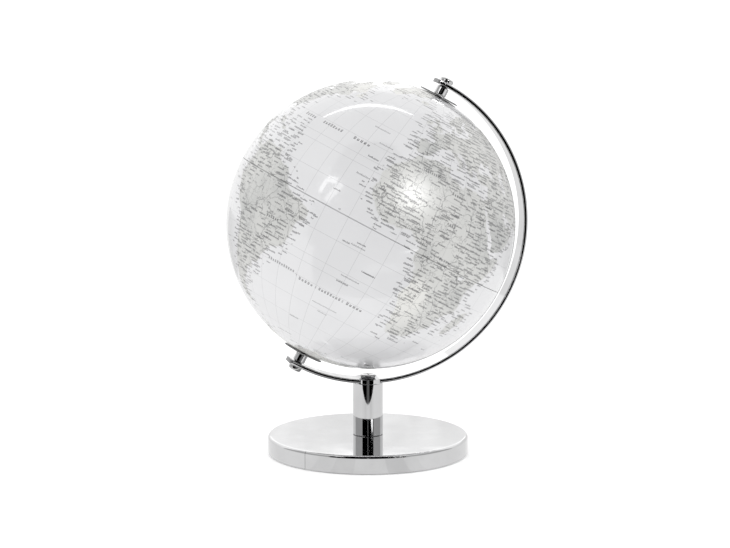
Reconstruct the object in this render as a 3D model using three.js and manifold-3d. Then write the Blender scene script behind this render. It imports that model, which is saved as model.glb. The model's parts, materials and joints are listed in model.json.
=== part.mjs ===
// A desktop globe: a printed ball that spins on a tilted axis, held by a half ring of metal
// strip that is screwed into a slot in the top of a post on a weighted round base.
// Millimetres, +Z up. The origin is the centre of the pad under the base. The arm's ring lies
// in the XZ plane, and the north end of the ball's axis leans towards +X.
import * as THREE from 'three';
import { mergeVertices } from 'three/addons/utils/BufferGeometryUtils.js';
import Module from 'manifold-3d';

const wasm = await Module();
wasm.setup();

// Driving dimensions.
const ballRadius = 100;
const ballWall = 2;
const ballCentre = new THREE.Vector3(2, 0, 161);
const axisTilt = THREE.MathUtils.degToRad(28.6);

const armInnerRadius = 108;
const armThickness = 2.9;
const armWidth = 15.4;
const armEndBeyondPivot = 7.2;
const armCornerRadius = 2.5;
const armEdgeBevel = 0.8;

const baseRadius = 70;
const baseTop = 13;
const baseEdgeRound = 2;
const sheetThickness = 1;
const coverFoot = 0.6;
const padRadius = 67;
const padThickness = 1.2;
const plateThickness = 0.8;
const plateHoleRadius = 9;
const weightRadius = 60;
const weightThickness = 6;

const postRadius = 10.5;
const postWall = 1.2;
const postTop = 50;
const saddleTop = 53.2;
const saddleSlotHalfWidth = 8;
const saddlePlugDepth = 12;
const footPlugHeight = 12;

const boltRadius = 3;
const boltHeadRadius = 5;
const boltHeadHeight = 2.8;
const boltPocketRadius = 8.5;
const boltWasherRadius = 7.5;
const boltWasherThickness = 1.2;
const armScrewRadius = 2.5;
const armScrewHeadRadius = 5.8;
const armScrewHeadHeight = 1.3;
const armScrewWasherRadius = 5.1;
const armScrewWasherThickness = 0.5;

const pivotRadius = 2;
const pivotHeadRadius = 4.75;
const pivotHeadHeight = 3.1;
const poleDiscRadius = 14.2;
const poleDiscThickness = 0.7;
const slipWasherRadius = 4;
const slipWasherThickness = 0.4;
const collarRadius = 4.4;
const collarLength = 5;
const neckWasherRadius = 3.2;
const bushRadius = 4.7;
const bushFootRadius = 7;
const bushFlangeRadius = 9;
const bushDepth = 12;
const bushFlangeTop = 8.8;
const equatorRingHeight = 12;
const equatorRingWall = 2;

// Clearance between neighbours, and how many sides small, middling and large round pieces have.
const gap = 0.3;
const small = 20;
const medium = 40;
const large = 56;

const materials = {
  chrome: new THREE.MeshStandardMaterial({ color: 0xdcdcde, roughness: 0.05, metalness: 1 }),
  steel: new THREE.MeshStandardMaterial({ color: 0x9a9ca0, roughness: 0.35, metalness: 1 }),
  iron: new THREE.MeshStandardMaterial({ color: 0x4a4a4c, roughness: 0.7, metalness: 0.9 }),
  print: new THREE.MeshStandardMaterial({ color: 0xdededc, roughness: 0.12, metalness: 0 }),
  plastic: new THREE.MeshStandardMaterial({ color: 0xe8e8e6, roughness: 0.5, metalness: 0 }),
  fibre: new THREE.MeshStandardMaterial({ color: 0x26262a, roughness: 0.6, metalness: 0 }),
  foam: new THREE.MeshStandardMaterial({ color: 0x1c1c1e, roughness: 0.95, metalness: 0 }),
};

const globe = new THREE.Group();
const axisGroup = new THREE.Group();
axisGroup.position.copy(ballCentre);
axisGroup.rotation.y = axisTilt;
globe.add(axisGroup);

// Booleans: a closed geometry becomes a solid and a solid becomes a geometry again.

function toSolid(geometry) {
  const bare = geometry.clone();
  bare.deleteAttribute('normal');
  bare.deleteAttribute('uv');
  const merged = mergeVertices(bare, 1e-4);
  return new wasm.Manifold(new wasm.Mesh({
    numProp: 3,
    vertProperties: new Float32Array(merged.attributes.position.array),
    triVerts: new Uint32Array(merged.index.array),
  }));
}

function toGeometry(solid) {
  const mesh = solid.getMesh();
  const geometry = new THREE.BufferGeometry();
  geometry.setAttribute('position', new THREE.BufferAttribute(mesh.vertProperties, 3));
  geometry.setIndex(new THREE.BufferAttribute(mesh.triVerts, 1));
  geometry.computeVertexNormals();
  return geometry;
}

// Turned shapes have their axis along Z. A profile is a list of [radius, height] points that
// runs anticlockwise as seen with the radius to the right and the height up.

function turned(profile, sides = small) {
  const closed = [...profile, profile[0]].map(([radius, height]) => new THREE.Vector2(radius, height));
  const lathe = new THREE.LatheGeometry(closed, sides);
  return lathe.rotateX(Math.PI / 2);
}

function disc(radius, bottom, top, sides = small) {
  return turned([[0, bottom], [radius, bottom], [radius, top], [0, top]], sides);
}

function ring(innerRadius, outerRadius, bottom, top, sides = small) {
  const profile = [[innerRadius, bottom], [outerRadius, bottom], [outerRadius, top], [innerRadius, top]];
  return turned(profile, sides);
}

function arc(centreRadius, centreHeight, radius, from, to, steps) {
  const points = [];
  for (let step = 0; step <= steps; step += 1) {
    const angle = from + (to - from) * step / steps;
    points.push([centreRadius + radius * Math.cos(angle), centreHeight + radius * Math.sin(angle)]);
  }
  return points;
}

function box(sizeX, sizeY, sizeZ, x, y, z) {
  return new THREE.BoxGeometry(sizeX, sizeY, sizeZ).translate(x, y, z);
}

function addNode(name, geometry, material, parent = globe) {
  const mesh = new THREE.Mesh(geometry, material);
  mesh.name = name;
  parent.add(mesh);
  return mesh;
}

// A round-headed screw along +Z: its head's flat underside is at seat, its tip below.
function roundHeadScrew(shankRadius, tip, seat, headRadius, headHeight) {
  const dome = [];
  const steps = 5;
  const rim = 0.35 * headHeight;
  for (let step = 0; step <= steps; step += 1) {
    const angle = (Math.PI / 2) * step / steps;
    const height = seat + rim + (headHeight - rim) * Math.sin(angle);
    dome.push([headRadius * Math.cos(angle), height]);
  }
  const body = turned([[0, tip], [shankRadius, tip], [shankRadius, seat], [headRadius, seat], ...dome]);
  const recessWidth = 0.2 * headRadius;
  const recessLength = 1.1 * headRadius;
  const recessFloor = seat + 0.45 * headHeight;
  const recessMiddle = recessFloor + headHeight / 2;
  let solid = toSolid(body);
  for (const [sizeX, sizeY] of [[recessLength, recessWidth], [recessWidth, recessLength]]) {
    solid = solid.subtract(toSolid(box(sizeX, sizeY, headHeight, 0, 0, recessMiddle)));
  }
  return toGeometry(solid);
}

// Base: a pressed cover over an iron weight, a closing plate and a foam pad.

const weightTop = baseTop - sheetThickness - gap;
const weightBottom = weightTop - weightThickness;
const plateBottom = padThickness + gap;
const boltHoleRadius = boltRadius + gap;
const boltPocketDepth = 2.8;
const washerTop = weightBottom + boltPocketDepth - gap;
const boltSeat = washerTop - boltWasherThickness - gap;

function baseCover() {
  const innerRound = baseEdgeRound - sheetThickness;
  const roundCentre = baseTop - baseEdgeRound;
  const roundRadius = baseRadius - baseEdgeRound;
  return turned([
    [boltHoleRadius, baseTop - sheetThickness],
    ...arc(roundRadius, roundCentre, innerRound, Math.PI / 2, 0, 2),
    [baseRadius - sheetThickness, coverFoot],
    [baseRadius, coverFoot],
    ...arc(roundRadius, roundCentre, baseEdgeRound, 0, Math.PI / 2, 4),
    [boltHoleRadius, baseTop],
  ], large);
}

addNode('base_pad', disc(padRadius, 0, padThickness, large), materials.foam);
addNode('base_plate',
  ring(plateHoleRadius, padRadius + 1, plateBottom, plateBottom + plateThickness, large),
  materials.steel);
addNode('base_weight', turned([
  [boltPocketRadius, weightBottom],
  [weightRadius, weightBottom],
  [weightRadius, weightTop],
  [boltHoleRadius, weightTop],
  [boltHoleRadius, washerTop + gap],
  [boltPocketRadius, washerTop + gap],
], medium), materials.iron);
addNode('base_cover', baseCover(), materials.chrome);

// Post: a tube with a threaded plug in its foot and the saddle in its top.

const postFoot = baseTop + gap;
const plugRadius = postRadius - postWall - gap;
const plugTop = postFoot + footPlugHeight;

addNode('base_bolt_washer',
  ring(boltHoleRadius, boltWasherRadius, washerTop - boltWasherThickness, washerTop), materials.steel);
addNode('base_bolt', turned([
  [0, boltSeat - boltHeadHeight],
  [boltHeadRadius, boltSeat - boltHeadHeight],
  [boltHeadRadius, boltSeat],
  [boltRadius, boltSeat],
  [boltRadius, plugTop - 1],
  [0, plugTop - 1],
]), materials.steel);
addNode('post_foot_plug', ring(boltHoleRadius, plugRadius, postFoot, plugTop), materials.steel);
addNode('post_tube', ring(postRadius - postWall, postRadius, postFoot, postTop, medium), materials.chrome);

const slotFloor = postTop - gap;
const saddlePlugBottom = postTop - saddlePlugDepth;

function saddle() {
  const plug = toSolid(disc(plugRadius, saddlePlugBottom, saddleTop, medium));
  const head = toSolid(disc(postRadius, postTop + gap, saddleTop, medium));
  const slotDepth = 10;
  const slotMiddle = slotFloor + slotDepth / 2;
  const slot = toSolid(box(4 * postRadius, 2 * saddleSlotHalfWidth, slotDepth, 0, 0, slotMiddle));
  const threadBottom = saddlePlugBottom + 2;
  const threadHole = toSolid(disc(armScrewRadius + gap, threadBottom, saddleTop));
  return toGeometry(plug.add(head).subtract(slot).subtract(threadHole));
}

addNode('post_saddle', saddle(), materials.chrome);

// Arm: strip with bevelled edges, bent round the ball's centre. It is shaped in the frame of the
// ball's axis, where the poles lie on Z and the arm runs round on +X.

const armOuterRadius = armInnerRadius + armThickness;

function fullRing() {
  const half = armWidth / 2;
  return turned([
    [armInnerRadius, -half + armEdgeBevel],
    [armInnerRadius + armEdgeBevel, -half],
    [armOuterRadius - armEdgeBevel, -half],
    [armOuterRadius, -half + armEdgeBevel],
    [armOuterRadius, half - armEdgeBevel],
    [armOuterRadius - armEdgeBevel, half],
    [armInnerRadius + armEdgeBevel, half],
    [armInnerRadius, half - armEdgeBevel],
  ], 2 * large).rotateX(Math.PI / 2);
}

// What is cut away outside one rounded corner: side is +1 or -1 across the strip.
function cornerWaste(side, middle) {
  const depth = 4 * armThickness;
  const reach = armCornerRadius + 1;
  const cornerX = armCornerRadius - armEndBeyondPivot;
  const cornerY = side * (armWidth / 2 - armCornerRadius);
  const block = box(reach, reach, depth, cornerX - reach / 2, cornerY + side * reach / 2, middle);
  const round = disc(armCornerRadius, middle - depth, middle + depth).translate(cornerX, cornerY, 0);
  return toSolid(block).subtract(toSolid(round));
}

function arm() {
  const size = 4 * armOuterRadius;
  const behindEnds = toSolid(box(size, size, size, -size / 2 - armEndBeyondPivot, 0, 0));
  let strip = toSolid(fullRing()).subtract(behindEnds);
  for (const pole of [1, -1]) {
    const middle = pole * (armInnerRadius + armThickness / 2);
    strip = strip.subtract(toSolid(disc(pivotRadius + gap, middle - 5, middle + 5)));
    for (const side of [1, -1]) {
      strip = strip.subtract(cornerWaste(side, middle));
    }
  }
  axisGroup.updateMatrix();
  const inPlace = strip.transform(axisGroup.matrix.toArray());
  const screwHole = toSolid(disc(armScrewRadius + gap, slotFloor - 1, saddleTop + 5));
  return toGeometry(inPlace.subtract(screwHole));
}

addNode('arm_band', arm(), materials.chrome);

const armScrewWasherBottom = saddleTop + gap;
const armScrewWasherTop = armScrewWasherBottom + armScrewWasherThickness;
addNode('arm_screw_washer',
  ring(armScrewRadius + gap, armScrewWasherRadius, armScrewWasherBottom, armScrewWasherTop),
  materials.steel);
addNode('arm_screw', roundHeadScrew(armScrewRadius, saddlePlugBottom + 3, armScrewWasherTop + gap,
  armScrewHeadRadius, armScrewHeadHeight), materials.chrome);

// Pivots: what is stacked along the axis at each pole, outwards from the ball.

const poleDiscBottom = ballRadius + gap;
const poleDiscTop = poleDiscBottom + poleDiscThickness;
const slipWasherTop = poleDiscTop + gap + slipWasherThickness;
const collarTop = slipWasherTop + gap + collarLength;
const neckWasherTop = armInnerRadius - gap;
const pivotSeat = armOuterRadius + gap;
const pivotHoleRadius = pivotRadius + gap;
const bushBottom = ballRadius - bushDepth;

for (const [pole, turn] of [['north', 0], ['south', Math.PI]]) {
  const poleGroup = new THREE.Group();
  poleGroup.rotation.y = turn;
  axisGroup.add(poleGroup);
  addNode(`${pole}_pivot_screw`, roundHeadScrew(pivotRadius, bushBottom + 1, pivotSeat,
    pivotHeadRadius, pivotHeadHeight), materials.chrome, poleGroup);
  addNode(`${pole}_neck_washer`,
    ring(pivotHoleRadius, neckWasherRadius, collarTop + gap, neckWasherTop), materials.fibre, poleGroup);
  addNode(`${pole}_collar`,
    ring(pivotHoleRadius, collarRadius, slipWasherTop + gap, collarTop), materials.chrome, poleGroup);
  addNode(`${pole}_slip_washer`,
    ring(pivotHoleRadius, slipWasherRadius, poleDiscTop + gap, slipWasherTop),
    materials.plastic, poleGroup);
  addNode(`${pole}_pole_plate`,
    ring(pivotHoleRadius, poleDiscRadius, poleDiscBottom, poleDiscTop, medium),
    materials.chrome, poleGroup);
  addNode(`${pole}_pole_bush`, turned([
    [pivotHoleRadius, bushBottom],
    [bushFootRadius, bushBottom],
    [bushFlangeRadius, bushBottom + bushFlangeTop / 2],
    [bushFlangeRadius, bushBottom + bushFlangeTop],
    [bushRadius, bushBottom + bushFlangeTop],
    [bushRadius, ballRadius - gap],
    [pivotHoleRadius, ballRadius - gap],
  ]), materials.plastic, poleGroup);
}

// Ball: two half shells with a pole hole each, joined by a ring inside the equator.

function halfShell() {
  const holeRadius = bushRadius + gap;
  const innerRadius = ballRadius - ballWall;
  const seam = gap / 2;
  const steps = 10;
  const outer = arc(0, 0, ballRadius, Math.asin(seam / ballRadius),
    Math.acos(holeRadius / ballRadius), steps);
  const inner = arc(0, 0, innerRadius, Math.acos(holeRadius / innerRadius),
    Math.asin(seam / innerRadius), steps);
  return turned([...outer, ...inner], medium);
}

addNode('north_half_shell', halfShell(), materials.print, axisGroup);
addNode('south_half_shell', halfShell().rotateX(Math.PI), materials.print, axisGroup);
const ringOuterRadius = ballRadius - ballWall - 2 * gap;
addNode('equator_ring', ring(ringOuterRadius - equatorRingWall, ringOuterRadius,
  -equatorRingHeight / 2, equatorRingHeight / 2, medium), materials.plastic, axisGroup);

export default globe;
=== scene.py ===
"""The looks of a desktop globe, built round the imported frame.

Every size comes from the frame or is a named value in millimetres. The ball's own frame has
its origin at the ball's centre, Z along the axis towards the north pole, and X towards the arm.
"""

import json
import math

import bpy
import numpy as np
from mathutils import Matrix, Vector
from mathutils.kdtree import KDTree


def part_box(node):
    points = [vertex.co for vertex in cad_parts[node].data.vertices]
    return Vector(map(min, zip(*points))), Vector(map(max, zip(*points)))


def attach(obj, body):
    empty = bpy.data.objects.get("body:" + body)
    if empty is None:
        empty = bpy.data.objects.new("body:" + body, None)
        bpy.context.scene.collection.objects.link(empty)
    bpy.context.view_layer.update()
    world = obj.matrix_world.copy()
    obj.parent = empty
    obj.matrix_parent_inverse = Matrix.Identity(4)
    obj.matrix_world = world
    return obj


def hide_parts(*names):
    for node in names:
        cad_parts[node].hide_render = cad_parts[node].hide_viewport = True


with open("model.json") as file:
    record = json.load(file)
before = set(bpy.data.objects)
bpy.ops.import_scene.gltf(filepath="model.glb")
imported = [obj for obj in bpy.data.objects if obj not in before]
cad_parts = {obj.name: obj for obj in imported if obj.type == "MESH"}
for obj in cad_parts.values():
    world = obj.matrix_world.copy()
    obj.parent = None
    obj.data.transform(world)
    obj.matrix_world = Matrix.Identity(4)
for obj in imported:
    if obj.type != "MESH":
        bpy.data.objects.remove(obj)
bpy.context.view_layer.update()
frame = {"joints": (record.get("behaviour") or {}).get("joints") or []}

MM = 0.001


def size_mm(node, axis):
    """A CAD node's extent along one axis, in millimetres."""
    low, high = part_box(node)
    return (high[axis] - low[axis]) / MM


def low_mm(node):
    """The height of a CAD node's lowest point, in millimetres."""
    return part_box(node)[0][2] / MM


def high_mm(node):
    """The height of a CAD node's highest point, in millimetres."""
    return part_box(node)[1][2] / MM


# ---------------------------------------------------------------- measures from the frame

joint = frame["joints"][0]
ball_centre = Vector(joint["pos_m"])
pole = Vector(joint["axis"]).normalized()
axis_tilt = math.atan2(pole.x, pole.z)
ball_frame = Matrix.Translation(ball_centre) @ Matrix.Rotation(axis_tilt, 4, "Y")

ball_radius = size_mm("north_half_shell", 1) / 2
base_radius = size_mm("base_cover", 0) / 2
base_top = high_mm("base_cover")
cover_foot = low_mm("base_cover")
pad_top = high_mm("base_pad")
pad_radius = size_mm("base_pad", 0) / 2
post_radius = size_mm("post_tube", 0) / 2
post_top = high_mm("post_tube")
saddle_top = high_mm("post_saddle")
saddle_foot = low_mm("post_saddle")
arm_width = size_mm("arm_band", 1)
screw_seat = high_mm("arm_screw_washer")

# Distances along the ball's axis from its centre, as the solids have them.
arm_inner = 108.0
arm_outer = 110.9
pole_disc_low = 100.15
pole_disc_high = 101.0
slip_washer_low = 101.2
slip_washer_high = 101.75
collar_low = 101.9
collar_high = 107.1
neck_washer_low = 107.25
neck_washer_high = 107.75
pivot_tip = 89.0
end_beyond_pivot = 7.2
end_corner = 2.0
slot_half_width = 8.0
pole_disc_radius = 14.2
collar_radius = 4.4
pivot_head_radius = 4.75
arm_screw_head_radius = 5.8
arm_screw_head_height = 1.3
pivot_head_height = 3.1
arm_screw_radius = 2.5
pivot_radius = 2.0
bolt_radius = 3.0
slip_washer_radius = 4.0
neck_washer_radius = 3.2
arm_washer_radius = 5.1

# The play round every shank and between neighbours, and the holes that it leaves.
play = 0.3
pivot_hole = pivot_radius + play
arm_screw_hole = arm_screw_radius + play
bolt_hole = bolt_radius + play


# ---------------------------------------------------------------- mesh helpers

def arc(centre, height, radius, start, end, steps):
    """Points of a profile on a round, angles in degrees from the radius direction."""
    angles = [math.radians(start + (end - start) * i / steps) for i in range(steps + 1)]
    return [(centre + radius * math.cos(a), height + radius * math.sin(a)) for a in angles]


def mesh_object(name, points, faces, place=Matrix.Identity(4)):
    """A smooth-shaded object from points in millimetres, placed in the row frame."""
    mesh = bpy.data.meshes.new(name)
    scaled = [place @ (Vector(p) * MM) for p in points]
    mesh.from_pydata(scaled, [], faces)
    mesh.validate()
    mesh.update()
    obj = bpy.data.objects.new(name, mesh)
    bpy.context.collection.objects.link(obj)
    mesh.polygons.foreach_set("use_smooth", [True] * len(mesh.polygons))
    return obj


def turned(name, profile, place=Matrix.Identity(4), sides=160):
    """A solid of revolution about Z. The profile is closed by its last point joining its first.

    Points on the axis become one vertex each.
    """
    points = []
    rows = []
    for radius, height in profile:
        if radius < 1e-6:
            rows.append([len(points)] * sides)
            points.append((0, 0, height))
            continue
        rows.append(range(len(points), len(points) + sides))
        for i in range(sides):
            angle = 2 * math.pi * i / sides
            points.append((radius * math.cos(angle), radius * math.sin(angle), height))
    faces = []
    closing = list(zip(rows, rows[1:] + rows[:1]))
    for lower, upper in closing:
        for i in range(sides):
            j = (i + 1) % sides
            corners = [lower[i], lower[j], upper[j], upper[i]]
            distinct = list(dict.fromkeys(corners))
            if len(distinct) > 2:
                faces.append(distinct)
    return mesh_object(name, points, faces, place)


def box(name, low, high, place=Matrix.Identity(4)):
    """A plain box, used only as a cutter."""
    points = [(x, y, z) for x in (low[0], high[0]) for y in (low[1], high[1]) for z in (low[2], high[2])]
    faces = [(0, 1, 3, 2), (4, 6, 7, 5), (0, 4, 5, 1), (2, 3, 7, 6), (0, 2, 6, 4), (1, 5, 7, 3)]
    return mesh_object(name, points, faces, place)


def apply_modifiers(obj):
    """Replaces the object's mesh by what its modifiers make of it."""
    graph = bpy.context.evaluated_depsgraph_get()
    made = bpy.data.meshes.new_from_object(obj.evaluated_get(graph))
    obj.modifiers.clear()
    obj.data = made


def cut(obj, cutters):
    """Takes the cutters out of the object and deletes them."""
    for cutter in cutters:
        modifier = obj.modifiers.new("Cut", "BOOLEAN")
        modifier.operation = "DIFFERENCE"
        modifier.solver = "EXACT"
        modifier.object = cutter
    apply_modifiers(obj)
    for cutter in cutters:
        bpy.data.objects.remove(cutter)


def soften(obj, width, angle=35):
    """Rounds the edges sharper than angle and keeps flat faces flat in the shading."""
    bevel = obj.modifiers.new("Edges", "BEVEL")
    bevel.width = width * MM
    bevel.segments = 3
    bevel.limit_method = "ANGLE"
    bevel.angle_limit = math.radians(angle)
    bevel.use_clamp_overlap = True
    even_shading(obj)


def even_shading(obj):
    """Weighs the shading by face size, so that small rounds don't bend large flats."""
    normals = obj.modifiers.new("Shading", "WEIGHTED_NORMAL")
    normals.keep_sharp = True
    apply_modifiers(obj)


def finish_piece(obj, material, body, slot, *nodes):
    """Gives a piece its material and body, and says which CAD nodes it stands for; its slot is not used.

    With no material, the piece keeps the ones its faces already have.
    """
    if material:
        obj.data.materials.clear()
        obj.data.materials.append(material)
    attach(obj, body)
    if nodes:
        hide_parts(*nodes)


# ---------------------------------------------------------------- material helpers

class Field:
    """A number that a material works out at every point, with ordinary arithmetic on it."""

    def __init__(self, tree, socket):
        self.tree = tree
        self.socket = socket

    def math(self, operation, *others):
        node = self.tree.nodes.new("ShaderNodeMath")
        node.operation = operation
        for place, value in enumerate((self, *others)):
            if isinstance(value, Field):
                self.tree.links.new(value.socket, node.inputs[place])
            else:
                node.inputs[place].default_value = value
        return Field(self.tree, node.outputs[0])

    def __add__(self, other):
        return self.math("ADD", other)

    def __sub__(self, other):
        return self.math("SUBTRACT", other)

    def __rsub__(self, other):
        return (self * -1) + other

    def __mul__(self, other):
        return self.math("MULTIPLY", other)

    def __truediv__(self, other):
        return self.math("DIVIDE", other)

    __radd__ = __add__
    __rmul__ = __mul__

    def abs(self):
        return self.math("ABSOLUTE")

    def floor(self):
        return self.math("FLOOR")

    def fract(self):
        return self.math("FRACT")

    def cos(self):
        return self.math("COSINE")

    def above(self, limit):
        """1 where this is more than limit, 0 elsewhere."""
        return self.math("GREATER_THAN", limit)

    def below(self, limit):
        """1 where this is less than limit, 0 elsewhere."""
        return self.math("LESS_THAN", limit)

    def ramp(self, low, high):
        """0 up to low, 1 from high on, and smooth between them."""
        node = self.tree.nodes.new("ShaderNodeMapRange")
        node.interpolation_type = "SMOOTHSTEP"
        self.tree.links.new(self.socket, node.inputs["Value"])
        node.inputs["From Min"].default_value = low
        node.inputs["From Max"].default_value = high
        return Field(self.tree, node.outputs["Result"])

    def either(self, other):
        """The larger of two fields, so the union of two masks."""
        return self.math("MAXIMUM", other)

    def drive(self, socket):
        self.tree.links.new(self.socket, socket)


def new_material(name):
    """A material with one Principled shader, returned with its node tree and shader."""
    material = bpy.data.materials.new(name)
    material.use_nodes = True
    tree = material.node_tree
    return material, tree, tree.nodes["Principled BSDF"]


def position(tree):
    """The point in the piece's own coordinates, in metres."""
    return tree.nodes.new("ShaderNodeTexCoord").outputs["Object"]


def noise(tree, vector, scale, detail=3.0, roughness=0.5, stretch=None):
    """A noise field from 0 to 1. scale is in features per metre."""
    if stretch:
        mapping = tree.nodes.new("ShaderNodeMapping")
        mapping.inputs["Scale"].default_value = stretch
        tree.links.new(vector, mapping.inputs["Vector"])
        vector = mapping.outputs["Vector"]
    node = tree.nodes.new("ShaderNodeTexNoise")
    node.inputs["Scale"].default_value = scale
    node.inputs["Detail"].default_value = detail
    node.inputs["Roughness"].default_value = roughness
    tree.links.new(vector, node.inputs["Vector"])
    return Field(tree, node.outputs["Fac"])


def dice(tree, *fields):
    """A random number from 0 to 1 for each set of whole-number fields."""
    combine = tree.nodes.new("ShaderNodeCombineXYZ")
    for place, value in enumerate(fields):
        if isinstance(value, Field):
            value.drive(combine.inputs[place])
        else:
            combine.inputs[place].default_value = value
    node = tree.nodes.new("ShaderNodeTexWhiteNoise")
    node.noise_dimensions = "3D"
    tree.links.new(combine.outputs[0], node.inputs["Vector"])
    return Field(tree, node.outputs["Value"])


def blend_colours(tree, factor, first, second):
    """A colour socket that goes from first to second as factor goes from 0 to 1."""
    mix = tree.nodes.new("ShaderNodeMix")
    mix.data_type = "RGBA"
    factor.drive(mix.inputs["Factor"])
    for socket, colour in ((mix.inputs["A"], first), (mix.inputs["B"], second)):
        if isinstance(colour, bpy.types.NodeSocket):
            tree.links.new(colour, socket)
        else:
            socket.default_value = (*colour, 1)
    return mix.outputs["Result"]


def add_bump(tree, shader, height, distance, strength=1.0):
    """A surface unevenness of distance metres, driven by a field from 0 to 1."""
    bump = tree.nodes.new("ShaderNodeBump")
    bump.inputs["Strength"].default_value = strength
    bump.inputs["Distance"].default_value = distance
    height.drive(bump.inputs["Height"])
    tree.links.new(bump.outputs["Normal"], shader.inputs["Normal"])


def polished_metal(name, colour, roughness, ripple, edge=1.0):
    """Mirror-polished plate: faint ripples in the sheet, fine wipe marks and uneven gloss.

    An edge below 1 makes it less bright where it is seen at a flat angle.
    """
    material, tree, shader = new_material(name)
    where = position(tree)
    shader.inputs["Metallic"].default_value = 1
    shader.inputs["Specular Tint"].default_value = (edge, edge, edge, 1)
    clouds = noise(tree, where, 55, detail=4)
    darker = tuple(0.94 * c for c in colour)
    tree.links.new(blend_colours(tree, clouds.ramp(0.35, 0.7), colour, darker), shader.inputs["Base Color"])
    wiping = noise(tree, where, 900, detail=2, stretch=(1, 1, 0.05))
    gloss = roughness + 0.03 * clouds.ramp(0.45, 0.8) + 0.02 * wiping.ramp(0.55, 0.8)
    gloss.drive(shader.inputs["Roughness"])
    add_bump(tree, shader, noise(tree, where, 28, detail=1), ripple)
    return material


def moulded_plastic(name, colour, roughness=0.5):
    """Plain moulded plastic: a fine eggshell surface with slightly uneven colour."""
    material, tree, shader = new_material(name)
    where = position(tree)
    clouds = noise(tree, where, 90, detail=3)
    darker = tuple(0.85 * c for c in colour)
    tree.links.new(blend_colours(tree, clouds, colour, darker), shader.inputs["Base Color"])
    shader.inputs["Roughness"].default_value = roughness
    add_bump(tree, shader, noise(tree, where, 2500, detail=2), 0.00003)
    return material


def rough_metal(name, colour, roughness, grain, height):
    """Plated or cast metal: a grain of the given scale, dull patches and small pits."""
    material, tree, shader = new_material(name)
    where = position(tree)
    shader.inputs["Metallic"].default_value = 1
    patches = noise(tree, where, 120, detail=5)
    darker = tuple(0.7 * c for c in colour)
    tree.links.new(blend_colours(tree, patches.ramp(0.3, 0.75), colour, darker), shader.inputs["Base Color"])
    (roughness + 0.2 * patches).drive(shader.inputs["Roughness"])
    add_bump(tree, shader, noise(tree, where, grain, detail=4), height)
    return material
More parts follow.
